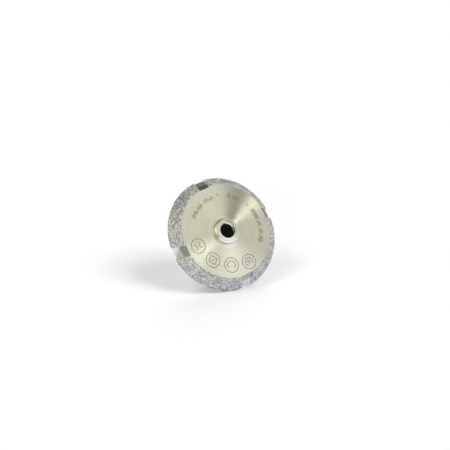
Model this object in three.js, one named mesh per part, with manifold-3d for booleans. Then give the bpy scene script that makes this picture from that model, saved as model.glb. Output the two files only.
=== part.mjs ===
// Diamond grinding wheel: a turned steel disc with a bevelled rim, a threaded hub pressed
// through its middle, and a brazed diamond coat on the rim in arcs between four slots.
//
// Frame: millimetres, +Z along the wheel's axis towards the front face. The origin is the
// centre of the hub's seating face, the face that meets the machine's spindle flange.
// +X runs through the middle of one slot, halfway down the bevel.

import * as THREE from 'three';
import { mergeVertices } from 'three/addons/utils/BufferGeometryUtils.js';
import Module from 'manifold-3d';

// ---------------------------------------------------------------- driving dimensions (mm)

const WHEEL_DIAMETER = 100;      // over the diamond coat
const BEVEL_RUN = 7.3;           // radial width of the steel bevel under the coat
const BEVEL_DEPTH = 9.2;         // axial depth of the bevel
const LAND_WIDTH = 1.8;          // straight land behind the bevel
const REAR_CHAMFER = 1.0;        // bare chamfer on the disc's rear edge
const COAT_THICKNESS = 1.0;      // braze and diamonds, measured square to the steel

const SLOT_COUNT = 4;
const SLOT_WIDTH = 9.2;
const SLOT_DEPTH_FRONT = 0.8;    // below the steel at the front face's edge
const SLOT_DEPTH_REAR = 0.4;     // below the steel where bevel and land meet
const SLOT_SHIFT = 2.7;          // clockwise round the rim, from the face down to the land

const HUB_REAR_LENGTH = 12;      // seating face to the disc's back face
const BOSS_DIAMETER = 22.4;      // front boss, and the shank through the disc
const BOSS_HEIGHT = 2.5;         // boss above the front face
const BOSS_CHAMFER = 1.1;
const COLLAR_DIAMETER = 29;
const COLLAR_FLANGE = 4;         // round part of the collar, against the disc
const COLLAR_CHAMFER = 0.8;
const SPANNER_WIDTH = 24;        // across the two flats of the collar

const THREAD_MAJOR = 14;         // M14 x 2
const THREAD_PITCH = 2;
const THREAD_MINOR = 11.9;
const COUNTERSINK = 0.9;         // radial width at both mouths of the thread
const DISC_BORE_CHAMFER = 0.5;   // breaks the disc's bore edge around the boss

const JOINT_GAP = 0.1;           // film of braze between two pieces

// ---------------------------------------------------------------- derived dimensions

const coatRadius = WHEEL_DIAMETER / 2;
const steelRadius = coatRadius - COAT_THICKNESS - JOINT_GAP;
const faceRadius = steelRadius - BEVEL_RUN;
const backZ = HUB_REAR_LENGTH;
const landLowZ = backZ + REAR_CHAMFER;
const landHighZ = landLowZ + LAND_WIDTH;
const faceZ = landHighZ + BEVEL_DEPTH;
const bossZ = faceZ + BOSS_HEIGHT;
const shankRadius = BOSS_DIAMETER / 2;
const discBoreRadius = shankRadius + JOINT_GAP;

// ---------------------------------------------------------------- rendering resolution

const DISC_SEGMENTS = 120;
const HUB_SEGMENTS = 72;
const THREAD_STEPS = 24;         // per turn
const CUT_MARGIN = 5;            // how far cutters run past what they cut

// ---------------------------------------------------------------- solids

const wasm = await Module();
wasm.setup();

function toSolid(geometry) {
  const bare = geometry.clone();
  bare.deleteAttribute('normal');
  bare.deleteAttribute('uv');
  const merged = mergeVertices(bare, 1e-5);
  return new wasm.Manifold(new wasm.Mesh({
    numProp: 3,
    vertProperties: new Float32Array(merged.attributes.position.array),
    triVerts: new Uint32Array(merged.index.array),
  }));
}

function toGeometry(solid) {
  const mesh = solid.getMesh();
  const geometry = new THREE.BufferGeometry();
  geometry.setAttribute('position', new THREE.BufferAttribute(mesh.vertProperties, 3));
  geometry.setIndex(new THREE.BufferAttribute(mesh.triVerts, 1));
  geometry.computeVertexNormals();
  return geometry;
}

// A ring turned about +Z from a closed outline of [radius, z] points, counter-clockwise
// with the radius to the right.
function turned(outline, segments) {
  const points = [...outline, outline[0]].map(([r, z]) => new THREE.Vector2(r, z));
  return new THREE.LatheGeometry(points, segments).rotateX(Math.PI / 2);
}

// A prism from an outline in the XY plane, from z = low to z = high.
function prism(outline, low, high) {
  const shape = new THREE.Shape(outline.map(([x, y]) => new THREE.Vector2(x, y)));
  const geometry = new THREE.ExtrudeGeometry(shape, { depth: high - low, bevelEnabled: false });
  return geometry.translate(0, 0, low);
}

// ---------------------------------------------------------------- slots

// Leans a shape on +X the way a slot runs: on +X halfway down the bevel, and ever further
// clockwise, seen from the front, towards the rear.
function leaned(geometry) {
  const middle = faceZ - BEVEL_DEPTH / 2;
  const lean = new THREE.Matrix4().makeShear(0, 0, 0, 0, 0, SLOT_SHIFT / BEVEL_DEPTH);
  return geometry.translate(0, 0, -middle).applyMatrix4(lean).translate(0, 0, middle);
}

// The slot's floor is a flat that slopes outwards with the bevel. The cutter is everything
// outside that flat, as wide as the slot, and lies on +X.
function slotCutter() {
  const slope = (BEVEL_RUN + SLOT_DEPTH_FRONT - SLOT_DEPTH_REAR) / BEVEL_DEPTH;
  const floorAt = (z) => faceRadius - SLOT_DEPTH_FRONT + slope * (faceZ - z);
  const low = backZ - CUT_MARGIN;
  const high = faceZ + CUT_MARGIN;
  const outer = coatRadius + 2 * CUT_MARGIN;
  // The outline's x is the radius and its y is the height: it is turned up to stand on XZ.
  const side = [[floorAt(high), high], [floorAt(low), low], [outer, low], [outer, high]];
  return leaned(prism(side, -SLOT_WIDTH / 2, SLOT_WIDTH / 2).rotateX(Math.PI / 2));
}

function slotCutters() {
  const step = (2 * Math.PI) / SLOT_COUNT;
  return Array.from({ length: SLOT_COUNT }, (_, k) => toSolid(slotCutter().rotateZ(k * step)));
}

// ---------------------------------------------------------------- disc

function discGeometry() {
  const outline = [
    [discBoreRadius + DISC_BORE_CHAMFER, backZ],
    [steelRadius - REAR_CHAMFER, backZ],
    [steelRadius, landLowZ],
    [steelRadius, landHighZ],
    [faceRadius, faceZ],
    [discBoreRadius + DISC_BORE_CHAMFER, faceZ],
    [discBoreRadius, faceZ - DISC_BORE_CHAMFER],
    [discBoreRadius, backZ + DISC_BORE_CHAMFER],
  ];
  const cut = slotCutters().reduce(
    (solid, cutter) => solid.subtract(cutter),
    toSolid(turned(outline, DISC_SEGMENTS)),
  );
  return toGeometry(cut);
}

// ---------------------------------------------------------------- diamond coat

// Point where the coat's surface, a given distance out from the steel, turns from the bevel
// to the land, and the point where it ends at the front face.
function coatLine(offset) {
  const bevelLength = Math.hypot(BEVEL_RUN, BEVEL_DEPTH);
  const normalR = BEVEL_DEPTH / bevelLength;
  const normalZ = BEVEL_RUN / bevelLength;
  return {
    front: [faceRadius + offset / normalR, faceZ],
    corner: [steelRadius + offset, landHighZ + (offset * (1 - normalR)) / normalZ],
    rear: [steelRadius + offset, landLowZ],
  };
}

// The share of the space round the axis that one arc lies in, from the middle of the slot on
// +X to the middle of the next.
function sector() {
  const step = (2 * Math.PI) / SLOT_COUNT;
  const reach = 3 * coatRadius;
  const corners = [0, step / 2, step].map((a) => [reach * Math.cos(a), reach * Math.sin(a)]);
  return prism([[0, 0], ...corners], backZ - CUT_MARGIN, faceZ + CUT_MARGIN);
}

// The space between two neighbouring arcs, as wide as the slot and lying on +X.
function gapCutter() {
  const half = SLOT_WIDTH / 2;
  const reach = 2 * coatRadius;
  const outline = [[0, -half], [reach, -half], [reach, half], [0, half]];
  return leaned(prism(outline, backZ - CUT_MARGIN, faceZ + CUT_MARGIN));
}

function coatArcGeometry(index) {
  const step = (2 * Math.PI) / SLOT_COUNT;
  const inner = coatLine(JOINT_GAP);
  const outer = coatLine(JOINT_GAP + COAT_THICKNESS);
  const outline = [inner.rear, outer.rear, outer.corner, outer.front, inner.front, inner.corner];
  const arc = toSolid(turned(outline, DISC_SEGMENTS))
    .intersect(toSolid(sector().rotateZ(index * step)))
    .subtract(toSolid(gapCutter().rotateZ(index * step)))
    .subtract(toSolid(gapCutter().rotateZ((index + 1) * step)));
  return toGeometry(arc);
}

// ---------------------------------------------------------------- hub

// The space of the threaded bore as one solid, like a long bolt with the nut's clearances.
// Its surface is a strip of rings that climbs one pitch per turn, closed by a fan at each end.
function threadPlug() {
  const crestHalf = THREAD_PITCH / 16;
  const minor = THREAD_MINOR / 2;
  const major = THREAD_MAJOR / 2;
  const mouthHalf = crestHalf + (major - minor) * Math.tan(Math.PI / 6);
  const profile = [[minor, -mouthHalf], [major, -crestHalf], [major, crestHalf], [minor, mouthHalf]];
  const startZ = -2 * THREAD_PITCH;
  const turns = Math.ceil(bossZ / THREAD_PITCH) + 4;
  const positions = [];
  for (let step = 0; step < THREAD_STEPS; step += 1) {
    const angle = (step / THREAD_STEPS) * 2 * Math.PI;
    for (let turn = 0; turn <= turns; turn += 1) {
      const rise = startZ + (turn + step / THREAD_STEPS) * THREAD_PITCH;
      for (const [r, z] of profile) {
        positions.push(r * Math.cos(angle), r * Math.sin(angle), rise + z);
      }
    }
  }
  const rows = profile.length * (turns + 1);
  const used = profile.length * turns;
  const vertex = (step, row) => (step < THREAD_STEPS ? step * rows + row : row + profile.length);
  const index = [];
  for (let step = 0; step < THREAD_STEPS; step += 1) {
    for (let row = 0; row < used - 1; row += 1) {
      const a = vertex(step, row);
      const b = vertex(step + 1, row);
      const c = vertex(step + 1, row + 1);
      const d = vertex(step, row + 1);
      index.push(a, b, c, a, c, d);
    }
  }
  const lowCentre = positions.length / 3;
  positions.push(0, 0, startZ - THREAD_PITCH);
  const highCentre = lowCentre + 1;
  positions.push(0, 0, startZ + (turns + 1) * THREAD_PITCH);
  for (let step = 0; step < THREAD_STEPS; step += 1) {
    index.push(lowCentre, vertex(step + 1, 0), vertex(step, 0));
    index.push(highCentre, vertex(step, used - 1), vertex(step + 1, used - 1));
  }
  for (let row = 0; row < profile.length; row += 1) {
    index.push(lowCentre, vertex(0, row), vertex(0, row + 1));
    index.push(highCentre, vertex(0, used + row), vertex(0, used + row - 1));
  }
  const geometry = new THREE.BufferGeometry();
  geometry.setAttribute('position', new THREE.Float32BufferAttribute(positions, 3));
  geometry.setIndex(index);
  return geometry;
}

// One of the two blocks that leave the spanner flats on the rear of the collar.
function flatCutter(side) {
  const reach = COLLAR_DIAMETER;
  const low = -CUT_MARGIN;
  const high = backZ - JOINT_GAP - COLLAR_FLANGE;
  const inner = SPANNER_WIDTH / 2;
  const outline = [[-reach, inner], [reach, inner], [reach, reach], [-reach, reach]];
  return prism(outline, low, high).rotateZ(side * Math.PI);
}

// The two cones that open the ends of the thread, joined by a thin core inside the bore.
function mouthCutter() {
  const mouth = THREAD_MINOR / 2 + COUNTERSINK;
  const point = THREAD_MINOR / 4;
  const depth = mouth - point;
  const outline = [
    [0, -CUT_MARGIN],
    [mouth, -CUT_MARGIN],
    [mouth, 0],
    [point, depth],
    [point, bossZ - depth],
    [mouth, bossZ],
    [mouth, bossZ + CUT_MARGIN],
    [0, bossZ + CUT_MARGIN],
  ];
  return turned(outline, HUB_SEGMENTS);
}

function hubGeometry() {
  const collar = COLLAR_DIAMETER / 2;
  const collarTop = backZ - JOINT_GAP;
  const outline = [
    [0, 0],
    [collar - COLLAR_CHAMFER, 0],
    [collar, COLLAR_CHAMFER],
    [collar, collarTop - COLLAR_CHAMFER],
    [collar - COLLAR_CHAMFER, collarTop],
    [shankRadius, collarTop],
    [shankRadius, bossZ - BOSS_CHAMFER],
    [shankRadius - BOSS_CHAMFER, bossZ],
    [0, bossZ],
  ];
  const cutters = [flatCutter(0), flatCutter(1), threadPlug(), mouthCutter()];
  const solid = cutters.reduce(
    (rest, cutter) => rest.subtract(toSolid(cutter)),
    toSolid(turned(outline, HUB_SEGMENTS)),
  );
  return toGeometry(solid);
}

// ---------------------------------------------------------------- assembly

function piece(name, geometry, material) {
  const mesh = new THREE.Mesh(geometry, material);
  mesh.name = name;
  return mesh;
}

const discSteel = new THREE.MeshStandardMaterial({
  color: 0xc9c5b2, metalness: 1, roughness: 0.3,
});
const hubSteel = new THREE.MeshStandardMaterial({
  color: 0xcfcfcd, metalness: 1, roughness: 0.28,
});
const diamondCoat = new THREE.MeshStandardMaterial({
  color: 0x9d9da4, metalness: 0.7, roughness: 0.6,
});

const wheel = new THREE.Group();
wheel.add(piece('steel_disc', discGeometry(), discSteel));
wheel.add(piece('threaded_hub', hubGeometry(), hubSteel));
for (let k = 0; k < SLOT_COUNT; k += 1) {
  wheel.add(piece(`diamond_coat_${k + 1}`, coatArcGeometry(k), diamondCoat.clone()));
}

export default wheel;
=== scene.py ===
"""Diamond grinding wheel: looks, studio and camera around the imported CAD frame.

The frame is in metres with +Z along the wheel's axis. The CAD parts give every size; this
script builds finer versions of them (edge breaks, thread, engraved marks, diamond grit).
"""
import math

import bmesh
import bpy
import numpy as np
from mathutils import Matrix, Vector


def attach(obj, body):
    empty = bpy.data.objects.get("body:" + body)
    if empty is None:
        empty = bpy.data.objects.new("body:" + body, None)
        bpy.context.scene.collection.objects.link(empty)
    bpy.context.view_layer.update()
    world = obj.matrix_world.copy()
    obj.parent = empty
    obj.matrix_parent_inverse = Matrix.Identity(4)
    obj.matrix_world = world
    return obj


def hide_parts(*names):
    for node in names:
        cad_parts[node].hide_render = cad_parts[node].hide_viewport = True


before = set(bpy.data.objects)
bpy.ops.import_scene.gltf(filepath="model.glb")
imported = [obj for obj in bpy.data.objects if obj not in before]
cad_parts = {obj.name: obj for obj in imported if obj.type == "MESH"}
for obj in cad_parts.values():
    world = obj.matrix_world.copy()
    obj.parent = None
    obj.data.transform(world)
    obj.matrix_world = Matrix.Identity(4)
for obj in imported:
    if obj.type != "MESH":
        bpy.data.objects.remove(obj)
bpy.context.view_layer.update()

MM = 0.001
COATS = [name for name in sorted(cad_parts) if name.startswith("diamond_coat")]

# ---------------------------------------------------------------- sizes read from the frame

SAME = 0.01 * MM        # heights or radii that differ by less count as the same
BUSH_WALL = 3 * MM      # less than the bush's wall, to tell its thread from its outside
COLLAR_STEP = 1 * MM    # less than the collar's step, to tell the collar from the bush


def node_points(name):
    """A CAD node's vertices as an array of x, y, z in metres."""
    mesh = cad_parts[name].data
    points = np.zeros(len(mesh.vertices) * 3)
    mesh.vertices.foreach_get("co", points)
    return points.reshape(-1, 3)


def at_height(points, z):
    """Radii of the points that lie at one height."""
    near = np.abs(points[:, 2] - z) < SAME
    return np.hypot(points[near, 0], points[near, 1])


class Sizes:
    """Radii and heights of the wheel, measured on the CAD nodes."""

    def __init__(self):
        disc = node_points("steel_disc")
        hub = node_points("threaded_hub")
        coat = node_points(COATS[0])
        disc_r = np.hypot(disc[:, 0], disc[:, 1])
        hub_r = np.hypot(hub[:, 0], hub[:, 1])
        coat_r = np.hypot(coat[:, 0], coat[:, 1])
        self.back_z = disc[:, 2].min()
        self.face_z = disc[:, 2].max()
        self.steel_r = disc_r.max()
        at_rim = disc[disc_r > self.steel_r - SAME, 2]
        self.land_low = at_rim.min()
        self.land_high = at_rim.max()
        self.face_r = at_height(disc, self.face_z).max()
        self.back_r = at_height(disc, self.back_z).max()
        self.disc_bore_r = disc_r.min()
        self.disc_bore_mouth = at_height(disc, self.face_z).min()
        self.boss_z = hub[:, 2].max()
        self.collar_r = hub_r.max()
        self.boss_top_r = at_height(hub, self.boss_z).max()
        self.mouth_r = at_height(hub, self.boss_z).min()
        self.shank_r = hub_r[hub[:, 2] > self.face_z].max()
        self.collar_top = hub[hub_r > self.shank_r + COLLAR_STEP, 2].max()
        self.thread_major = hub_r[hub_r < self.shank_r - BUSH_WALL].max()
        self.thread_minor = hub_r.min()
        self.flat_y = hub[:, 1][np.abs(hub[:, 2]) < SAME].max()
        self.coat_r = coat_r.max()
        self.coat_front_r = at_height(coat, self.face_z).max()
        self.coat_corner = coat[coat_r > self.coat_r - SAME, 2].max()
        # The first arc starts at the slot on +X and ends at the one on +Y, and both lean alike.
        at_face = coat[np.abs(coat[:, 2] - self.face_z) < SAME]
        start, end = at_face[:, 1].min(), at_face[:, 0].min()
        self.slot_half = (start + end) / 2
        self.slot_lean = (start - end) / (self.face_z - self.land_high)
        self.slot_middle = (self.face_z + self.land_high) / 2


size = Sizes()

# ---------------------------------------------------------------- mesh helpers


def in_scene(name, data):
    """A new object in the scene, for a mesh, a lamp or a camera."""
    obj = bpy.data.objects.new(name, data)
    bpy.context.scene.collection.objects.link(obj)
    return obj


def new_object(name, verts, faces, materials=()):
    """A mesh object in the scene from vertices, faces and materials."""
    mesh = bpy.data.meshes.new(name)
    mesh.from_pydata([tuple(v) for v in verts], [], [tuple(f) for f in faces])
    mesh.update()
    for material in materials:
        mesh.materials.append(material)
    return in_scene(name, mesh)


def arc_corner(before, corner, after, radius, steps):
    """Points of a fillet at one corner of an outline, all given as 2-D vectors."""
    back, ahead = (before - corner).normalized(), (after - corner).normalized()
    half = math.acos(max(-1, min(1, back.dot(ahead)))) / 2
    reach = radius / math.tan(half)
    centre = corner + (back + ahead).normalized() * radius / math.sin(half)
    start, end = corner + back * reach - centre, corner + ahead * reach - centre
    turn = start.angle_signed(end)
    points = []
    for i in range(steps + 1):
        a = -turn * i / steps
        rotated = Vector((
            start.x * math.cos(a) - start.y * math.sin(a),
            start.x * math.sin(a) + start.y * math.cos(a),
        ))
        points.append(centre + rotated)
    return points


FILLET_STEPS = 4        # spans in the arc of an edge's fillet


def rounded(outline, support):
    """Fillets a closed outline of (r, z, radius). Each fillet gets a support point on either
    side, so that smooth shading stays inside the fillet."""
    points = []
    count = len(outline)
    for i, (r, z, radius) in enumerate(outline):
        before = Vector(outline[i - 1][:2])
        after = Vector(outline[(i + 1) % count][:2])
        corner = Vector((r, z))
        if not radius:
            points.append(corner)
            continue
        arc = arc_corner(before, corner, after, radius, FILLET_STEPS)
        in_support = arc[0] + (before - corner).normalized() * support
        out_support = arc[-1] + (after - corner).normalized() * support
        points += [in_support, *arc, out_support]
    return [(p.x, p.y) for p in points]


def turned(name, outline, segments, materials=()):
    """Turns a closed (r, z) outline about Z. The outline runs counter-clockwise in (r, z)."""
    verts, faces = [], []
    count = len(outline)
    for i in range(segments):
        a = 2 * math.pi * i / segments
        verts += [(r * math.cos(a), r * math.sin(a), z) for r, z in outline]
    for i in range(segments):
        here, there = i * count, ((i + 1) % segments) * count
        for j in range(count):
            k = (j + 1) % count
            faces.append((here + j, there + j, there + k, here + k))
    return new_object(name, verts, faces, materials)


def prism(name, outline, low, high, materials=()):
    """A straight prism of a counter-clockwise (x, y) outline between two heights."""
    count = len(outline)
    verts = [(x, y, low) for x, y in outline] + [(x, y, high) for x, y in outline]
    faces = [tuple(reversed(range(count))), tuple(range(count, 2 * count))]
    for j in range(count):
        k = (j + 1) % count
        faces.append((j, k, count + k, count + j))
    return new_object(name, verts, faces, materials)


def remove(obj):
    """Takes an object and its mesh out of the scene."""
    mesh = obj.data
    bpy.data.objects.remove(obj)
    bpy.data.meshes.remove(mesh)


def cut(target, cutter):
    """Subtracts the cutter from the target for good. Cut faces take the cutter's material."""
    modifier = target.modifiers.new("cut", "BOOLEAN")
    modifier.operation = "DIFFERENCE"
    modifier.solver = "EXACT"
    modifier.material_mode = "TRANSFER"
    modifier.object = cutter
    depsgraph = bpy.context.evaluated_depsgraph_get()
    result = bpy.data.meshes.new_from_object(target.evaluated_get(depsgraph))
    target.modifiers.clear()
    old, target.data = target.data, result
    bpy.data.meshes.remove(old)
    remove(cutter)


def join(name, objects):
    """One object from several that don't touch."""
    merged = bmesh.new()
    for obj in objects:
        merged.from_mesh(obj.data)
    materials = list(objects[0].data.materials)
    for obj in objects:
        remove(obj)
    mesh = bpy.data.meshes.new(name)
    merged.to_mesh(mesh)
    merged.free()
    for material in materials:
        mesh.materials.append(material)
    return in_scene(name, mesh)


CRISP_ANGLE = 28        # degrees


def shade(obj):
    """Smooth shading, with edges sharper than the angle kept crisp."""
    obj.data.shade_smooth()
    obj.data.set_sharp_from_angle(angle=math.radians(CRISP_ANGLE))


# ---------------------------------------------------------------- material helpers


class Nodes:
    """A small wrapper that builds a material's nodes."""

    def __init__(self, name):
        self.material = bpy.data.materials.new(name)
        self.material.use_nodes = True
        self.tree = self.material.node_tree
        self.shader = self.tree.nodes["Principled BSDF"]

    def add(self, kind, **values):
        """A new node, with its settings and its unlinked inputs given by name."""
        node = self.tree.nodes.new(kind)
        for key, value in values.items():
            if hasattr(node, key):
                setattr(node, key, value)
            else:
                node.inputs[key].default_value = value
        return node

    def link(self, source, target):
        self.tree.links.new(source, target)

    def set(self, **values):
        """Sets the shader's own inputs, with _ for the spaces in their names."""
        for key, value in values.items():
            self.shader.inputs[key.replace("_", " ")].default_value = value

    def feed(self, socket, value):
        """Links a socket to another node's output, or sets it to a plain number."""
        if isinstance(value, (int, float)):
            socket.default_value = value
        else:
            self.link(value, socket)

    def math(self, operation, *values):
        """The result of one operation on numbers and other nodes' outputs."""
        node = self.add("ShaderNodeMath", operation=operation)
        for socket, value in zip(node.inputs, values):
            self.feed(socket, value)
        return node.outputs[0]

    def split(self, vector):
        """The x, y and z of a vector."""
        node = self.add("ShaderNodeSeparateXYZ")
        self.link(vector, node.inputs[0])
        return node.outputs

    def colour(self, factor, stops):
        """Gives the shader a base colour that runs through the stops."""
        self.link(self.ramp(factor, stops), self.shader.inputs["Base Color"])

    def ramp(self, factor, stops):
        """A colour that runs through stops of (position, colour)."""
        node = self.add("ShaderNodeValToRGB")
        elements = node.color_ramp.elements
        while len(elements) < len(stops):
            elements.new(0.5)
        for element, (position, colour) in zip(elements, stops):
            element.position = position
            element.color = (*colour, 1)
        self.link(factor, node.inputs["Fac"])
        return node.outputs["Color"]

    def position(self):
        """The place on the wheel, in metres."""
        return self.add("ShaderNodeTexCoord").outputs["Object"]

    def noise(self, scale, detail, vector=None):
        """Soft noise, by default one that fills space with this many lumps to the metre."""
        node = self.add("ShaderNodeTexNoise", Scale=scale, Detail=detail, Roughness=0.55)
        self.link(vector or self.position(), node.inputs["Vector"])
        return node.outputs["Fac"]

    def radius(self):
        """Distance from the wheel's axis, in metres."""
        x, y, _ = self.split(self.position())
        squares = [self.math("MULTIPLY", value, value) for value in (x, y)]
        return self.math("SQRT", self.math("ADD", *squares))

    def polar(self, round_scale, scale):
        """Radius, angle and height as one scaled vector, for marks that follow the turning."""
        x, y, z = self.split(self.position())
        angle = self.math("ARCTAN2", y, x)
        joined = self.add("ShaderNodeCombineXYZ")
        self.link(self.math("MULTIPLY", self.radius(), scale), joined.inputs[0])
        self.link(self.math("MULTIPLY", angle, round_scale), joined.inputs[1])
        self.link(self.math("MULTIPLY", z, scale), joined.inputs[2])
        return joined.outputs[0]

    def lean_inward(self, amount):
        """The surface normal, leaned toward the wheel's axis as the turning grooves are."""
        x, y, _ = self.split(self.position())
        radius = self.radius()
        joined = self.add("ShaderNodeCombineXYZ")
        for i, value in enumerate((x, y)):
            share = self.math("DIVIDE", value, radius)
            self.link(self.math("MULTIPLY", share, -amount), joined.inputs[i])
        total = self.add("ShaderNodeVectorMath", operation="ADD")
        self.link(self.add("ShaderNodeNewGeometry").outputs["Normal"], total.inputs[0])
        self.link(joined.outputs[0], total.inputs[1])
        unit = self.add("ShaderNodeVectorMath", operation="NORMALIZE")
        self.link(total.outputs[0], unit.inputs[0])
        return unit.outputs[0]

    def bump(self, height, strength, distance, below=None):
        """Gives the shader a bumpy normal, over another one if there is one below."""
        node = self.add("ShaderNodeBump", Strength=strength, Distance=distance)
        self.link(height, node.inputs["Height"])
        if below:
            self.link(below, node.inputs["Normal"])
        self.link(node.outputs["Normal"], self.shader.inputs["Normal"])

    def roughness(self, factor, low, spread):
        """Gives the shader a roughness that rises from low by the spread with the factor."""
        rough = self.math("MULTIPLY_ADD", factor, spread, low)
        self.link(rough, self.shader.inputs["Roughness"])


GROOVE_LEAN = math.tan(math.radians(8))     # lean of the turning grooves' sides
GROOVE_SCALE = 9000     # turning grooves in a metre, about
BAND_SCALE = 900        # broader bands of wear in a metre, about


def turned_steel(name, tint, shadow_tint, roughness, anisotropy):
    """Steel off the lathe: fine grooves round the axis, with broader bands and cloudy wear."""
    m = Nodes(name)
    grooves = m.noise(scale=1.0, detail=3, vector=m.polar(0.6, GROOVE_SCALE))
    bands = m.noise(scale=1.0, detail=2, vector=m.polar(0.3, BAND_SCALE))
    cloud = m.noise(scale=45, detail=3)
    tone = m.math("ADD", m.math("MULTIPLY", cloud, 0.5), m.math("MULTIPLY", bands, 0.5))
    m.colour(tone, [(0.35, shadow_tint), (0.65, tint)])
    m.roughness(grooves, low=roughness - 0.05, spread=0.10)
    m.bump(grooves, strength=0.25, distance=0.02 * MM, below=m.lean_inward(GROOVE_LEAN))
    m.set(Metallic=1.0, Anisotropic=anisotropy, Anisotropic_Rotation=0.25)
    tangent = m.add("ShaderNodeTangent", direction_type="RADIAL", axis="Z")
    m.link(tangent.outputs[0], m.shader.inputs["Tangent"])
    return m.material


def engraved(name):
    """The burnt floor of a laser-engraved mark."""
    m = Nodes(name)
    grain = m.noise(scale=6000, detail=2)
    m.colour(grain, [(0.3, (0.13, 0.11, 0.08)), (0.7, (0.28, 0.24, 0.18))])
    m.bump(grain, strength=0.5, distance=0.04 * MM)
    m.set(Metallic=0.6, Roughness=0.6)
    return m.material


PAINTED_SHADE_RADIUS = 44.6 * MM    # inside this radius the milled steel is darkened with painted shade
PAINTED_SHADE_FADE = 1.2 * MM


def milled_steel(name):
    """Milled faces: bright at the rim, darkened toward the middle with painted shade."""
    m = Nodes(name)
    marks = m.noise(scale=900, detail=3)
    scaled = m.math("MULTIPLY", m.radius(), 1 / PAINTED_SHADE_FADE)
    outward = m.math("ADD", scaled, -PAINTED_SHADE_RADIUS / PAINTED_SHADE_FADE)
    tone = m.math("ADD", outward, m.math("MULTIPLY", marks, 0.4))
    # Painted shade: the colour darkens toward the middle, for the shaded inner part of the slot
    # floors; the hub's flats lie wholly inside and come out dark.
    m.colour(tone, [(0.0, (0.42, 0.42, 0.44)), (1.0, (0.80, 0.80, 0.88))])
    m.bump(marks, strength=0.2, distance=0.04 * MM)
    m.set(Metallic=1.0, Roughness=0.2, Specular_Tint=(0.4, 0.4, 0.42, 1))
    return m.material


def thread_painted_shade(name):
    """The thread, coloured almost black as painted shade of the deep bore."""
    m = Nodes(name)
    mottle = m.noise(scale=1500, detail=3)
    # Painted shade: the thread's colour is set almost black, standing in for the shade deep in the
    # bore.
    m.colour(mottle, [(0.3, (0.004, 0.004, 0.004)), (0.7, (0.012, 0.012, 0.011))])
    m.bump(mottle, strength=0.2, distance=0.03 * MM)
    m.set(Metallic=0.0, Roughness=0.65, Specular_IOR_Level=0.2)
    return m.material


def braze(name):
    """Nickel braze between the diamonds, lumpy and slightly stained."""
    m = Nodes(name)
    lumps = m.noise(scale=1400, detail=4)
    stain = m.noise(scale=500, detail=3)
    mixed = m.math("MULTIPLY", lumps, stain)
    m.colour(mixed, [(0.13, (0.22, 0.22, 0.23)), (0.32, (0.74, 0.74, 0.76))])
    m.bump(lumps, strength=0.8, distance=0.15 * MM)
    m.set(Metallic=0.7, Roughness=0.42)
    return m.material


def diamonds(name):
    """Diamond crystals, each with its own shade, from smoky to nearly clear."""
    m = Nodes(name)
    own = m.add("ShaderNodeNewGeometry").outputs["Random Per Island"]
    m.colour(own, [
        (0.0, (0.04, 0.04, 0.04)),
        (0.35, (0.23, 0.23, 0.23)),
        (0.65, (0.62, 0.62, 0.63)),
        (1.0, (1.0, 1.0, 1.0)),
    ])
    facets = m.noise(scale=2500, detail=2)
    m.bump(facets, strength=0.25, distance=0.05 * MM)
    m.roughness(facets, low=0.12, spread=0.25)
    m.set(Metallic=0.4, IOR=2.4)
    return m.material


DISC_STEEL = turned_steel(
    "disc_steel",
    tint=(0.94, 0.925, 0.83),
    shadow_tint=(0.85, 0.835, 0.75),
    roughness=0.25,
    anisotropy=0.95,
)
HUB_STEEL = turned_steel(
    "hub_steel",
    tint=(0.91, 0.90, 0.875),
    shadow_tint=(0.80, 0.79, 0.765),
    roughness=0.26,
    anisotropy=0.2,
)
ENGRAVED = engraved("engraved")
MILLED = milled_steel("milled_steel")
THREAD_BLACK = thread_painted_shade("thread_black")
BRAZE = braze("braze")
DIAMOND = diamonds("diamond")

# ---------------------------------------------------------------- engraved marks

# Angles on the face are in degrees from +X, the middle of one slot, anticlockwise from the
# front.
MARK_DEPTH = 0.12 * MM
MARK_LINE = 0.55 * MM
ROUND_LINE = 0.5 * MM
ROUND_SEGMENTS = 48
LEAST_COSINE = 0.4      # keeps a line from growing too wide at a sharp turn


def ring_cutter(centre, radius, line):
    """An engraved circle on the front face."""
    outline = [
        (radius - line / 2, size.face_z - MARK_DEPTH),
        (radius + line / 2, size.face_z - MARK_DEPTH),
        (radius + line / 2, size.face_z + MARK_DEPTH),
        (radius - line / 2, size.face_z + MARK_DEPTH),
    ]
    ring = turned("mark", outline, ROUND_SEGMENTS, [ENGRAVED])
    ring.data.transform(Matrix.Translation((*centre, 0)))
    return ring


def stroke_cutter(path, closed=False):
    """An engraved line of even width along a path of (x, y) points."""
    points = [Vector(p) for p in path]
    count = len(points)
    left, right = [], []
    for i, p in enumerate(points):
        if closed:
            before, after = points[i - 1], points[(i + 1) % count]
        else:
            before, after = points[max(i - 1, 0)], points[min(i + 1, count - 1)]
        a = (p - before).normalized() if (p - before).length else (after - p).normalized()
        b = (after - p).normalized() if (after - p).length else a
        mean = (a + b).normalized()
        side = Vector((-mean.y, mean.x)) * MARK_LINE / 2 / max(mean.dot(a), LEAST_COSINE)
        left.append(p + side)
        right.append(p - side)
    low, high = size.face_z - MARK_DEPTH, size.face_z + MARK_DEPTH
    verts = []
    for a, b in zip(left, right):
        verts += [(*b, low), (*a, low), (*a, high), (*b, high)]
    faces = []
    spans = count if closed else count - 1
    for i in range(spans):
        j = (i + 1) % count
        for k in range(4):
            n = (k + 1) % 4
            faces.append((4 * i + k, 4 * i + n, 4 * j + n, 4 * j + k))
    if not closed:
        faces.append((0, 3, 2, 1))
        last = 4 * (count - 1)
        faces.append((last, last + 1, last + 2, last + 3))
    return new_object("mark", verts, faces, [ENGRAVED])


TICK_LONG = 1.9 * MM
TICK_STUB = 0.2 * MM
TICK_GAPS = 0.05        # share of the ticks that are left out
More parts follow.
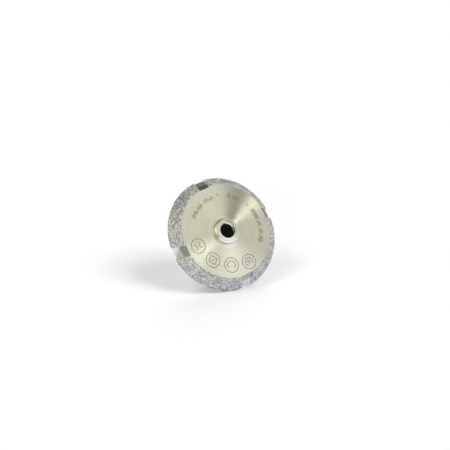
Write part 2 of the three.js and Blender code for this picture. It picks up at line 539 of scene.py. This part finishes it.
# Each row: first and last angle, radius and spacing in mm, and the seed of its lengths.
TICK_ROWS = (
    (174.5, 228.5, 31.5, 1.15, 3),
    (131, 151, 32.5, 1.6, 5),
    (50, 108, 32.7, 1.15, 8),
)
# Places are a radius in mm and an angle.
DOT_PLACES = ((32.7, 166.8), (32.7, 113.9))
DOT_RADIUS = 0.35 * MM
DOT_LINE = 0.6 * MM
SYMBOL_PLACES = ((30.6, -86.7), (29.8, -53.2), (30.2, -19.6), (32.8, 11.5))
SYMBOL_RING = 6.4 * MM
SYMBOL_SCALE = 1.25 * MM


def on_face(radius, degrees):
    """The x and y of a place on the face."""
    a = math.radians(degrees)
    return Vector((radius * math.cos(a), radius * math.sin(a)))


def tick_marks(start, end, radius_mm, spacing_mm, seed):
    """A row of short radial ticks in varied lengths, a plain graduation without lettering."""
    rng = np.random.default_rng(seed)
    radius = radius_mm * MM
    step = math.degrees(spacing_mm * MM / radius)
    cutters = []
    for i in range(int((end - start) / step)):
        if rng.random() < TICK_GAPS:
            continue
        low = rng.choice([-TICK_LONG, -TICK_LONG, -TICK_STUB])
        high = rng.choice([TICK_STUB, TICK_LONG, TICK_LONG])
        angle = start + (i + 0.5) * step
        cutters.append(stroke_cutter([on_face(radius + low, angle), on_face(radius + high, angle)]))
    return cutters


def symbol_path(centre, turn, points):
    """Places a path drawn round the origin at a symbol, turned to face the wheel's centre."""
    c, s = math.cos(math.radians(turn)), math.sin(math.radians(turn))
    placed = []
    for x, y in points:
        place_x = centre.x + (x * c - y * s) * SYMBOL_SCALE
        place_y = centre.y + (x * s + y * c) * SYMBOL_SCALE
        placed.append(Vector((place_x, place_y)))
    return placed


def arc_path(radius, start, end, steps):
    """Points of an arc round the origin, from one angle to another."""
    angles = np.radians(np.linspace(start, end, steps))
    return [(radius * math.cos(a), radius * math.sin(a)) for a in angles]


# The figure in each ring: its paths, in units of SYMBOL_SCALE, and whether each is closed.
CHEVRONS = (
    ([(-2.4, 2.2), (0, 0.8), (2.4, 2.2)], False),
    ([(-2.4, -2.2), (0, -0.8), (2.4, -2.2)], False),
)
SQUARE_AND_SLASH = (
    ([(-2.4, -2.3), (2.4, -2.3), (2.4, 2.3), (-2.4, 2.3)], True),
    ([(-0.9, -0.9), (0.9, 0.9)], False),
)
OPEN_ARC = ((arc_path(2.9, -40, 220, 14), False),)
ARC_AND_RING = (
    (arc_path(2.9, -50, 230, 14), False),
    (arc_path(1.0, 0, 330, 12), True),
)
FIGURES = (CHEVRONS, SQUARE_AND_SLASH, OPEN_ARC, ARC_AND_RING)


def symbols():
    """Four engraved rings round the face, each with a plain geometric figure."""
    cutters = []
    for (radius, degrees), figure in zip(SYMBOL_PLACES, FIGURES):
        centre = on_face(radius * MM, degrees)
        cutters.append(ring_cutter(centre, SYMBOL_RING, ROUND_LINE))
        for points, closed in figure:
            cutters.append(stroke_cutter(symbol_path(centre, degrees + 90, points), closed))
    return cutters


def all_marks():
    """Cutters for everything engraved on the face."""
    cutters = []
    for row in TICK_ROWS:
        cutters += tick_marks(*row)
    cutters += symbols()
    for radius, degrees in DOT_PLACES:
        cutters.append(ring_cutter(on_face(radius * MM, degrees), DOT_RADIUS, DOT_LINE))
    return cutters


# ---------------------------------------------------------------- disc

DISC_SEGMENTS = 360
EDGE_BREAK = 0.2 * MM
BEVEL_BREAK = 0.5 * MM
BORE_EDGE = 0.15 * MM       # chamfer of the bore at the front face
SLOT_CREASE = 0.16 * MM     # how far the crease lies inside a straight floor
SLOT_CREASE_SHARE = 0.4     # how far down the slot its crease is
CUTTER_REACH = 4 * MM       # how far the cutter runs on outside the disc


def slot_line():
    """Two points (r, z) of the floor that the CAD disc's slot has on +X: at the front face
    and at its lowest point."""
    disc = node_points("steel_disc")
    across = disc[:, 1] - size.slot_lean * (disc[:, 2] - size.slot_middle)
    on_wall = np.abs(np.abs(across) - size.slot_half) < 2 * SAME
    in_slot = on_wall & (disc[:, 0] > size.face_r / 2)
    front = disc[in_slot & (np.abs(disc[:, 2] - size.face_z) < SAME), 0].min()
    on_land = (disc[:, 2] < size.land_high + SAME) & (disc[:, 2] > size.land_low - SAME)
    land = disc[in_slot & on_land]
    low = land[land[:, 2].argmin()]
    return (front, size.face_z), (low[0], low[2])


def slot_cutter(index, count):
    """Clears one slot, with a faint crease where two passes of the cutter meet."""
    (front, face_z), (low_r, low_z) = slot_line()
    slope = (low_r - front) / (face_z - low_z)
    top, bottom = face_z + CUTTER_REACH, size.back_z - CUTTER_REACH
    outer = size.coat_r + 2 * CUTTER_REACH
    crease_z = face_z - SLOT_CREASE_SHARE * (face_z - low_z)
    crease_r = front + slope * (face_z - crease_z) - SLOT_CREASE
    steep = (crease_r - front) / (face_z - crease_z)
    shallow = (low_r - crease_r) / (crease_z - low_z)
    side = [
        (front - steep * CUTTER_REACH, top),
        (crease_r, crease_z),
        (crease_r + shallow * (crease_z - bottom), bottom),
        (outer, bottom),
        (outer, top),
    ]
    cutter = prism("slot", side, -size.slot_half, size.slot_half, [MILLED])
    stand = Matrix.Rotation(math.pi / 2, 4, "X")
    lean = Matrix.Identity(4)
    lean[1][2] = size.slot_lean
    lean[1][3] = -size.slot_lean * size.slot_middle
    around = Matrix.Rotation(2 * math.pi * index / count, 4, "Z")
    cutter.data.transform(around @ lean @ stand)
    return cutter


def build_disc():
    """The turned steel disc with its slots and engraved marks."""
    outline = rounded([
        (size.disc_bore_mouth, size.back_z, 0),
        (size.back_r, size.back_z, EDGE_BREAK),
        (size.steel_r, size.land_low, EDGE_BREAK),
        (size.steel_r, size.land_high, BEVEL_BREAK),
        (size.face_r, size.face_z, EDGE_BREAK),
        (size.disc_bore_r + BORE_EDGE, size.face_z, 0),
        (size.disc_bore_r, size.face_z - BORE_EDGE, 0),
        (size.disc_bore_r, size.back_z + (size.disc_bore_mouth - size.disc_bore_r), 0),
    ], support=0.25 * MM)
    disc = turned("disc", outline, DISC_SEGMENTS, [DISC_STEEL])
    for index in range(len(COATS)):
        cut(disc, slot_cutter(index, len(COATS)))
    cut(disc, join("marks", all_marks()))
    shade(disc)
    return disc


# ---------------------------------------------------------------- hub

THREAD_PITCH = 2 * MM
THREAD_STEPS = 72
THREAD_FLANK = math.radians(30)
THREAD_SPARE = 4        # turns that the plug runs on past each end
HUB_SEGMENTS = 256
COLLAR_CHAMFER = 0.8 * MM
COLLAR_EDGE = 0.1 * MM
BOSS_EDGE = 0.15 * MM
MOUTH_EDGE = 0.08 * MM
MOUTH_OVERRUN = 0.6 * MM    # how far the mouth's chamfer is drawn past the thread's crests


def thread_plug(low, high):
    """The threaded bore's space as one solid: a strip that climbs one pitch per turn."""
    crest_half = THREAD_PITCH / 16      # the plug's crests are an eighth of the pitch wide
    mouth_half = crest_half + (size.thread_major - size.thread_minor) * math.tan(THREAD_FLANK)
    profile = [
        (size.thread_minor, -mouth_half),
        (size.thread_major, -crest_half),
        (size.thread_major, crest_half),
        (size.thread_minor, mouth_half),
    ]
    turns = math.ceil((high - low) / THREAD_PITCH)
    rows = len(profile) * (turns + 1)
    used = len(profile) * turns
    verts = []
    for step in range(THREAD_STEPS):
        a = 2 * math.pi * step / THREAD_STEPS
        for turn in range(turns + 1):
            rise = low + (turn + step / THREAD_STEPS) * THREAD_PITCH
            verts += [(r * math.cos(a), r * math.sin(a), rise + z) for r, z in profile]

    def vertex(step, row):
        return step * rows + row if step < THREAD_STEPS else row + len(profile)

    faces = []
    for step in range(THREAD_STEPS):
        for row in range(used - 1):
            faces.append((vertex(step, row), vertex(step + 1, row),
                          vertex(step + 1, row + 1), vertex(step, row + 1)))
    low_centre = len(verts)
    verts += [(0, 0, low - THREAD_PITCH), (0, 0, low + (turns + 1) * THREAD_PITCH)]
    high_centre = low_centre + 1
    for step in range(THREAD_STEPS):
        faces.append((low_centre, vertex(step + 1, 0), vertex(step, 0)))
        faces.append((high_centre, vertex(step, used - 1), vertex(step + 1, used - 1)))
    for row in range(len(profile)):
        faces.append((low_centre, vertex(0, row), vertex(0, row + 1)))
        faces.append((high_centre, vertex(0, used + row), vertex(0, used + row - 1)))
    return new_object("thread", verts, faces, [THREAD_BLACK])


def build_hub():
    """The threaded bush with its collar and spanner flats."""
    inner = size.thread_minor - MOUTH_OVERRUN
    depth = size.mouth_r - inner
    collar_flat = size.collar_r - COLLAR_CHAMFER
    boss_chamfer = size.shank_r - size.boss_top_r
    outline = rounded([
        (inner, depth, 0),
        (size.mouth_r, 0, MOUTH_EDGE),
        (collar_flat, 0, COLLAR_EDGE),
        (size.collar_r, COLLAR_CHAMFER, COLLAR_EDGE),
        (size.collar_r, size.collar_top - COLLAR_CHAMFER, COLLAR_EDGE),
        (collar_flat, size.collar_top, COLLAR_EDGE),
        (size.shank_r, size.collar_top, 0),
        (size.shank_r, size.boss_z - boss_chamfer, BOSS_EDGE),
        (size.boss_top_r, size.boss_z, BOSS_EDGE),
        (size.mouth_r, size.boss_z, MOUTH_EDGE),
        (inner, size.boss_z - depth, 0),
    ], support=0.15 * MM)
    hub = turned("hub", outline, HUB_SEGMENTS, [HUB_STEEL])
    flat_top = flats_top()
    reach = 3 * size.collar_r       # well outside the hub
    for side in (1, -1):
        near, far = sorted((side * size.flat_y, side * reach))
        block = [(-reach, near), (reach, near), (reach, far), (-reach, far)]
        cut(hub, prism("flat", block, -reach, flat_top, [MILLED]))
    spare = THREAD_SPARE * THREAD_PITCH
    cut(hub, thread_plug(-spare, size.boss_z + spare))
    shade(hub)
    return hub


def flats_top():
    """Height where the collar's spanner flats end."""
    hub = node_points("threaded_hub")
    on_flat = np.abs(np.abs(hub[:, 1]) - size.flat_y) < SAME
    outside = np.hypot(hub[:, 0], hub[:, 1]) > size.flat_y + COLLAR_STEP / 2
    return hub[on_flat & outside, 2].max()


# ---------------------------------------------------------------- diamond coat

ARC = 2 * math.pi / len(COATS)
COAT_FILLETS = (0.45 * MM, 1.6 * MM, 0.35 * MM)     # front edge, outer corner, rear edge
COAT_FILLET_STEPS = 8
FRONT_LAP = 0.25 * MM       # how far outside the face's edge the coat's front begins
REAR_LAP = 0.15 * MM        # how far outside the steel its rear ends
BED_STEP = 0.30 * MM
BED_LUMP = 0.22 * MM
BED_LIFT = 0.02 * MM        # keeps the bed's underside clear of the steel
BED_DROP = 0.3              # mean depth of the bed below the CAD coat, as a share of a lump
LUMP_CELLS = (0.7 * MM, 0.33 * MM, 3.0 * MM)        # coarse lumps, fine lumps, patches
LUMP_SHARES = (1, 0.6, 0.3)
LUMP_SEEDS = (11, 12, 13)
END_CELL = 1.0 * MM
END_WANDER = 1.2 * MM       # how far in from the slot the bed's ragged ends reach
END_SEEDS = (21, 22)
END_SHIFT = 5 * MM          # moves the noise on, so that no two arcs end alike
END_TAPER = 0.6 * MM        # how much thinner the bed is at its very ends
END_TAPER_LENGTH = 0.9 * MM


def outer_line(step):
    """Evenly spaced points along the coat's outer surface with their normals (r, z)."""
    corners = [
        Vector((size.face_r + FRONT_LAP, size.face_z)),
        Vector((size.coat_front_r, size.face_z)),
        Vector((size.coat_r, size.coat_corner)),
        Vector((size.coat_r, size.land_low)),
        Vector((size.steel_r + REAR_LAP, size.land_low)),
    ]
    line = [corners[0]]
    for i, radius in enumerate(COAT_FILLETS, start=1):
        line += arc_corner(corners[i - 1], corners[i], corners[i + 1], radius, COAT_FILLET_STEPS)
    line.append(corners[-1])
    lengths = [0.0]
    for a, b in zip(line, line[1:]):
        lengths.append(lengths[-1] + (b - a).length)
    count = max(2, round(lengths[-1] / step))
    where = np.linspace(0, lengths[-1], count + 1)
    r = np.interp(where, lengths, [p.x for p in line])
    z = np.interp(where, lengths, [p.y for p in line])
    along_r, along_z = np.gradient(r), np.gradient(z)
    norm = np.hypot(along_r, along_z)
    return r, z, -along_z / norm, along_r / norm


NOISE_VALUES = 4096
NOISE_PRIMES = (73856093, 19349663, 83492791)


def smooth_noise(points, cell, seed):
    """Value noise on 3-D points: random lattice values, smoothly blended."""
    table = np.random.default_rng(seed).random(NOISE_VALUES)
    scaled = points / cell
    base = np.floor(scaled).astype(int)
    f = scaled - base
    f = f * f * (3 - 2 * f)
    total = np.zeros(len(points))
    for corner in range(8):
        offset = np.array([corner & 1, (corner >> 1) & 1, (corner >> 2) & 1])
        x, y, z = (base + offset).T
        mixed = x * NOISE_PRIMES[0] ^ y * NOISE_PRIMES[1] ^ z * NOISE_PRIMES[2]
        weight = np.prod(np.where(offset, f, 1 - f), axis=1)
        total += table[mixed % NOISE_VALUES] * weight
    return total


def arc_ends(r, z):
    """Angles where the first arc starts and ends, between two leaning slots."""
    lean = size.slot_lean * (z - size.slot_middle)
    return np.arcsin((size.slot_half + lean) / r), ARC - np.arcsin((size.slot_half - lean) / r)


def round_axis(r, z, angles):
    """Points or directions (x, y, z) from radii and heights at some angles."""
    x, y = r * np.cos(angles), r * np.sin(angles)
    return np.stack([x, y, np.broadcast_to(z, x.shape)], axis=-1)


def lump_height(points):
    """How far the braze stands out at each point, before it thins toward its edges."""
    height = np.full(len(points), -BED_DROP)
    for cell, share, seed in zip(LUMP_CELLS, LUMP_SHARES, LUMP_SEEDS):
        height += share * (smooth_noise(points, cell, seed) - 0.5)
    return height * BED_LUMP


def bed_top(index):
    """The braze's outer surface: its points, column by column, how many there are in a
    column, and each column's share of the way along the arc."""
    r, z, normal_r, normal_z = outer_line(BED_STEP)
    count = len(r)
    section = np.stack([r, z, np.full(count, index * END_SHIFT)], axis=-1)
    start, end = arc_ends(r, z)
    start = start + END_WANDER * smooth_noise(section, END_CELL, END_SEEDS[0]) / r
    end = end - END_WANDER * smooth_noise(section, END_CELL, END_SEEDS[1]) / r
    length = ((end - start) * r).mean()
    columns = int(length / BED_STEP)
    share = np.linspace(0, 1, columns + 1)
    angles = start[None, :] + share[:, None] * (end - start)[None, :] + index * ARC
    points = round_axis(r, z, angles).reshape(-1, 3)
    normals = round_axis(normal_r, normal_z, angles).reshape(-1, 3)
    from_end = np.repeat(np.minimum(share, 1 - share) * length, count)
    thin = END_TAPER * np.clip(1 - from_end / END_TAPER_LENGTH, 0, 1) ** 2
    rows = np.tile(np.arange(count), columns + 1)
    fade = np.minimum(1, np.minimum(rows, count - 1 - rows) / 2)
    height = (lump_height(points) - thin) * fade
    return points + normals * height[:, None], count, share


def bed_underside(index, share):
    """Points under the braze, on each corner of the steel from rear to front."""
    corners = (
        (size.steel_r, size.land_low),
        (size.steel_r, size.land_high),
        (size.face_r, size.face_z),
    )
    points = []
    for along in share:
        for corner_r, z in corners:
            r = corner_r + BED_LIFT
            start, end = arc_ends(r, z)
            a = index * ARC + start + along * (end - start)
            points.append((r * math.cos(a), r * math.sin(a), z))
    return points, len(corners)


def build_bed(index):
    """The braze of one arc: a closed shell on the steel with a lumpy outer surface."""
    top, count, share = bed_top(index)
    under, under_count = bed_underside(index, share)
    first = len(top)
    columns = len(share) - 1
    faces = []
    for i in range(columns):
        top_a, top_b = i * count, (i + 1) * count
        low_a, low_b = first + i * under_count, first + (i + 1) * under_count
        for j in range(count - 1):
            faces.append((top_a + j, top_a + j + 1, top_b + j + 1, top_b + j))
        faces.append((top_a + count - 1, low_a, low_b, top_b + count - 1))
        for j in range(under_count - 1):
            faces.append((low_a + j, low_a + j + 1, low_b + j + 1, low_b + j))
        faces.append((low_a + under_count - 1, top_a, top_b, low_b + under_count - 1))
    for i, step in ((0, -1), (columns, 1)):
        ring = [i * count + j for j in range(count)]
        ring += [first + i * under_count + j for j in range(under_count)]
        faces.append(ring[::step])
    bed = new_object(f"braze_bed_{index + 1}", [*top, *under], faces, [BRAZE])
    fix_normals(bed)
    bed.data.shade_smooth()
    return bed


def fix_normals(obj):
    """Splits the many-sided faces and turns every face outward."""
    edit = bmesh.new()
    edit.from_mesh(obj.data)
    bmesh.ops.triangulate(edit, faces=[f for f in edit.faces if len(f.verts) > 4])
    bmesh.ops.recalc_face_normals(edit, faces=edit.faces)
    edit.to_mesh(obj.data)
    edit.free()


SIDES = (-1, 1)
# The corners of a cuboctahedron, one unit from its middle.
CRYSTAL_POINTS = np.array([
    *[(x, y, 0) for x in SIDES for y in SIDES],
    *[(x, 0, z) for x in SIDES for z in SIDES],
    *[(0, y, z) for y in SIDES for z in SIDES],
], float) / math.sqrt(2)
GRAIN_SPACING = 0.94 * MM
GRAIN_RADIUS = (0.29 * MM, 0.54 * MM)
GRAIN_STRETCH = (0.8, 1.2)
GRAIN_SINK = 0.12 * MM      # how deep a crystal's middle lies below the coat's surface
GRAIN_RISE = (-0.3, 0.4)    # how far it stands out again, as a share of its radius
GRAIN_STRAY = 0.42          # how far it strays across its row, as a share of the spacing
GRAINS_LOST = 0.06          # share of the places with no crystal
GRIT_SEED = 100


def crystal_faces():
    """Triangles of a cuboctahedron, the blocky habit of grinding diamond."""
    edit = bmesh.new()
    for p in CRYSTAL_POINTS:
        edit.verts.new(p)
    bmesh.ops.convex_hull(edit, input=edit.verts)
    edit.verts.index_update()
    bmesh.ops.recalc_face_normals(edit, faces=edit.faces)
    faces = [tuple(v.index for v in f.verts) for f in edit.faces]
    edit.free()
    return faces


def random_rotations(rng, count):
    """Uniform random rotation matrices from unit quaternions."""
    q = rng.normal(size=(count, 4))
    q /= np.linalg.norm(q, axis=1)[:, None]
    w, x, y, z = q.T
    return np.stack([
        np.stack([1 - 2 * (y * y + z * z), 2 * (x * y - z * w), 2 * (x * z + y * w)], -1),
        np.stack([2 * (x * y + z * w), 1 - 2 * (x * x + z * z), 2 * (y * z - x * w)], -1),
        np.stack([2 * (x * z - y * w), 2 * (y * z + x * w), 1 - 2 * (x * x + y * y)], -1),
    ], axis=1)


def grain_places(index, rng):
    """Middles and outward directions of one arc's crystals, scattered one to a cell, in rows
    that are set half a cell apart."""
    r, z, normal_r, normal_z = outer_line(GRAIN_SPACING)
    centres, normals = [], []
    for j in range(len(r)):
        start, end = arc_ends(r[j], z[j])
        start = start + END_WANDER / 2 / r[j]
        span = end - END_WANDER / 2 / r[j] - start
        cells = int(span * r[j] / GRAIN_SPACING)
        place = np.arange(cells) + 0.5 * (j % 2) + rng.uniform(0.1, 0.9, cells) * 0.8
        angles = start + np.minimum(place / cells, 1) * span + index * ARC
        along = rng.uniform(-GRAIN_STRAY, GRAIN_STRAY, cells) * GRAIN_SPACING
        centres.append(round_axis(r[j] - normal_z[j] * along, z[j] + normal_r[j] * along, angles))
        normals.append(round_axis(normal_r[j], normal_z[j], angles))
    centres, normals = np.concatenate(centres), np.concatenate(normals)
    kept = rng.random(len(centres)) > GRAINS_LOST
    return centres[kept], normals[kept]


def build_grit(index):
    """The diamonds of one arc, half sunk in the braze."""
    rng = np.random.default_rng(GRIT_SEED + index)
    centres, normals = grain_places(index, rng)
    count = len(centres)
    radius = rng.uniform(*GRAIN_RADIUS, count)
    raised = rng.uniform(*GRAIN_RISE, count) * radius
    stretch = rng.uniform(*GRAIN_STRETCH, (count, 1, 3))
    shapes = CRYSTAL_POINTS[None] * stretch * radius[:, None, None]
    shapes = np.einsum("nij,nkj->nki", random_rotations(rng, count), shapes)
    shapes += (centres + normals * (raised - GRAIN_SINK)[:, None])[:, None, :]
    first = np.arange(count) * len(CRYSTAL_POINTS)
    faces = (np.array(crystal_faces())[None] + first[:, None, None]).reshape(-1, 3)
    return new_object(f"diamond_grit_{index + 1}", shapes.reshape(-1, 3), faces, [DIAMOND])


# ---------------------------------------------------------------- object

disc_piece = build_disc()
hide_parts("steel_disc")
hub_piece = build_hub()
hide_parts("threaded_hub")
shown = [disc_piece, hub_piece]
for coat_index, coat_node in enumerate(COATS):
    for piece in (build_bed(coat_index), build_grit(coat_index)):
        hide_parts(coat_node)
        shown.append(piece)
for piece in shown:
    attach(piece, "root")

# ---------------------------------------------------------------- camera

VIEW_TILT = 27.6        # degrees between the wheel's axis and the line of sight
VIEW_TURN = 277.5       # degrees from +X to the camera, seen from the front
AXIS_ON_SCREEN = 32.8   # degrees from the picture's right to the wheel's axis
FOCAL_LENGTH = 96       # mm
SENSOR_WIDTH = 36       # mm
CAMERA_DISTANCE = 1.0348    # metres from the face
FRAMING = (1.255 * MM, -5.148 * MM)     # the face's centre, right of and above the aim point


def camera_axes():
    """Right, up and back of the camera, in the wheel's frame."""
    tilt, turn = math.radians(VIEW_TILT), math.radians(VIEW_TURN)
    back = Vector((math.sin(tilt) * math.cos(turn), math.sin(tilt) * math.sin(turn), math.cos(tilt)))
    axis = Vector((0, 0, 1))
    on_screen = (axis - back * axis.dot(back)).normalized()
    side = back.cross(on_screen)
    roll = math.radians(AXIS_ON_SCREEN)
    right = on_screen * math.cos(roll) - side * math.sin(roll)
    up = on_screen * math.sin(roll) + side * math.cos(roll)
    return right, up, back


RIGHT, UP, BACK = camera_axes()


def build_camera():
    """The camera, aimed so that the wheel stands where it should in the picture."""
    data = bpy.data.cameras.new("camera")
    data.lens = FOCAL_LENGTH
    data.sensor_width = SENSOR_WIDTH
    camera = in_scene("camera", data)
    face_centre = Vector((0, 0, size.face_z))
    place = face_centre + BACK * CAMERA_DISTANCE - RIGHT * FRAMING[0] - UP * FRAMING[1]
    rotation = Matrix((RIGHT, UP, BACK)).transposed().to_4x4()
    camera.matrix_world = Matrix.Translation(place) @ rotation
    bpy.context.scene.camera = camera


build_camera()

# ---------------------------------------------------------------- studio

LOOKS_DOWN = 22         # degrees that the camera looks down on the floor
FLOOR_SIZE = 3.0        # metres
FLOOR_GAP = 0.1 * MM
FLOOR_COLOUR = (0.9, 0.9, 0.92, 1)


def floor_axes():
    """The camera's right, the floor's up and the way from the camera along the floor."""
    dip = math.radians(LOOKS_DOWN)
    up = UP * math.cos(dip) + BACK * math.sin(dip)
    away = UP * math.sin(dip) - BACK * math.cos(dip)
    return RIGHT, up, away


def floor_material():
    """A pale matt floor that can't be seen from below."""
    m = Nodes("floor")
    m.set(Roughness=0.9, Base_Color=FLOOR_COLOUR)
    clear = m.add("ShaderNodeBsdfTransparent")
    mix = m.add("ShaderNodeMixShader")
    m.link(m.add("ShaderNodeNewGeometry").outputs["Backfacing"], mix.inputs["Fac"])
    m.link(m.shader.outputs[0], mix.inputs[1])
    m.link(clear.outputs[0], mix.inputs[2])
    m.link(mix.outputs[0], m.tree.nodes["Material Output"].inputs["Surface"])
    return m.material


def build_floor():
    """The floor, a hair below the wheel's lowest point."""
    right, up, away = floor_axes()
    normal = np.array(up)
    lowest = min((node_points(name) @ normal).min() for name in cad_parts)
    middle = up * (lowest - FLOOR_GAP)
    half = FLOOR_SIZE / 2
    corners = [middle + right * x * half + away * y * half
               for x, y in ((-1, -1), (1, -1), (1, 1), (-1, 1))]
    new_object("floor", corners, [(0, 1, 2, 3)], [floor_material()])


# What the polished steel mirrors: an even surround, with soft lights and dark flags in it.
# Each has its degrees to the right of the camera, its degrees above it, its width in degrees,
# and its brightness, which is negative for a flag.
SURROUND = 0.76
DARKEST = 0.02          # no flag makes it darker than this
SOFT_LIGHTS = {
    "strip beside the lens": (26, 8, 3.5, 5),
    "strip on the far right": (90, 36, 3.5, 4),
    "soft box high on the right": (52, 42, 11, 1.2),
    "wide fill from the right": (70, 8, 48, 0.42),
    "fill on the left": (-45, 20, 12, 1),
    "flag beside the lens strip": (34, 3, 7, -1.5),
    "flag under the soft box": (50, 32, 14, -1.3),
    "flag low on the right": (30, -25, 20, -0.35),
    "flag behind on the right": (150, 15, 24, -0.5),
    "flag over the wheel": (-110, 70, 28, -0.8),
    "flag low on the left": (-25, -25, 22, -0.7),
}
# The surround is warm, and cooler about one direction, given with its width.
WARM = (1.0, 0.985, 0.70)
COOL = (1.0, 0.99, 0.96)
COOL_SKY = (52, 42, 26)
# What lights the floor and the matt surfaces: an even light, and lamps with their degrees to
# the right of the camera, their degrees above it, their brightness and their size in degrees.
EVEN_LIGHT = 0.27
EVEN_TINT = (0.965, 0.955, 1.0)
LAMPS = {
    "lamp_right": (50, 38, 1.65, 34),
    "lamp_left": (-42, 38, 0.95, 36),
    "lamp_back": (168, 62, 0.9, 42),
    "lamp_front": (-10, -15, 1.4, 40),
}
BACKDROP = (1.0, 1.0, 1.0)


def from_camera(across, above):
    """A direction given in degrees to the right of the camera and above it."""
    a, b = math.radians(across), math.radians(above)
    return RIGHT * math.sin(a) * math.cos(b) + UP * math.sin(b) + BACK * math.cos(a) * math.cos(b)


class WorldNodes(Nodes):
    """The studio's surroundings, written with the same helpers as a material."""

    def __init__(self, name):
        self.world = bpy.data.worlds.new(name)
        self.world.use_nodes = True
        self.tree = self.world.node_tree
        self.tree.nodes.clear()
        self.way = self.add("ShaderNodeTexCoord").outputs["Generated"]

    def toward(self, direction):
        """How far the looked-at direction agrees with a given one, from -1 to 1."""
        node = self.add("ShaderNodeVectorMath", operation="DOT_PRODUCT")
        self.link(self.way, node.inputs[0])
        node.inputs[1].default_value = direction
        return node.outputs["Value"]

    def lobe(self, across, above, width, brightness):
        """A soft round light, or a dark flag if its brightness is negative."""
        sharpness = 1 / math.radians(width) ** 2
        aim = from_camera(across, above)
        falloff = self.math("MULTIPLY", self.math("SUBTRACT", self.toward(aim), 1), sharpness)
        return self.math("MULTIPLY", self.math("EXPONENT", falloff), brightness)

    def background(self, colour, strength=1.0):
        node = self.add("ShaderNodeBackground")
        if isinstance(colour, tuple):
            node.inputs["Color"].default_value = (*colour, 1)
        else:
            self.link(colour, node.inputs["Color"])
        self.feed(node.inputs["Strength"], strength)
        return node.outputs[0]

    def choose(self, factor, first, second):
        node = self.add("ShaderNodeMixShader")
        self.link(factor, node.inputs["Fac"])
        self.link(first, node.inputs[1])
        self.link(second, node.inputs[2])
        return node.outputs[0]


def build_world():
    """Three surroundings: one for the camera, one for mirrored rays and one for the rest."""
    w = WorldNodes("studio")
    glow = SURROUND
    for soft_light in SOFT_LIGHTS.values():
        glow = w.math("ADD", w.lobe(*soft_light), glow)
    glow = w.math("MAXIMUM", glow, DARKEST)
    tint = w.ramp(w.lobe(*COOL_SKY, 1.0), [(0.0, WARM), (1.0, COOL)])
    mirrored = w.background(tint, glow)
    even = w.background(EVEN_TINT, EVEN_LIGHT)
    path = w.add("ShaderNodeLightPath")
    around = w.choose(path.outputs["Is Glossy Ray"], even, mirrored)
    around = w.choose(path.outputs["Is Camera Ray"], around, w.background(BACKDROP))
    w.link(around, w.add("ShaderNodeOutputWorld").inputs["Surface"])
    bpy.context.scene.world = w.world


def build_lamp(name, across, above, brightness, width):
    """A distant soft lamp that the polished steel doesn't mirror."""
    data = bpy.data.lights.new(name, "SUN")
    data.energy = brightness
    data.angle = math.radians(width)
    lamp = in_scene(name, data)
    lamp.rotation_euler = from_camera(across, above).to_track_quat("Z", "Y").to_euler()
    lamp.visible_glossy = False


build_floor()
build_world()
for lamp_name, lamp_setting in LAMPS.items():
    build_lamp(lamp_name, *lamp_setting)
bpy.context.scene.view_settings.view_transform = "Standard"
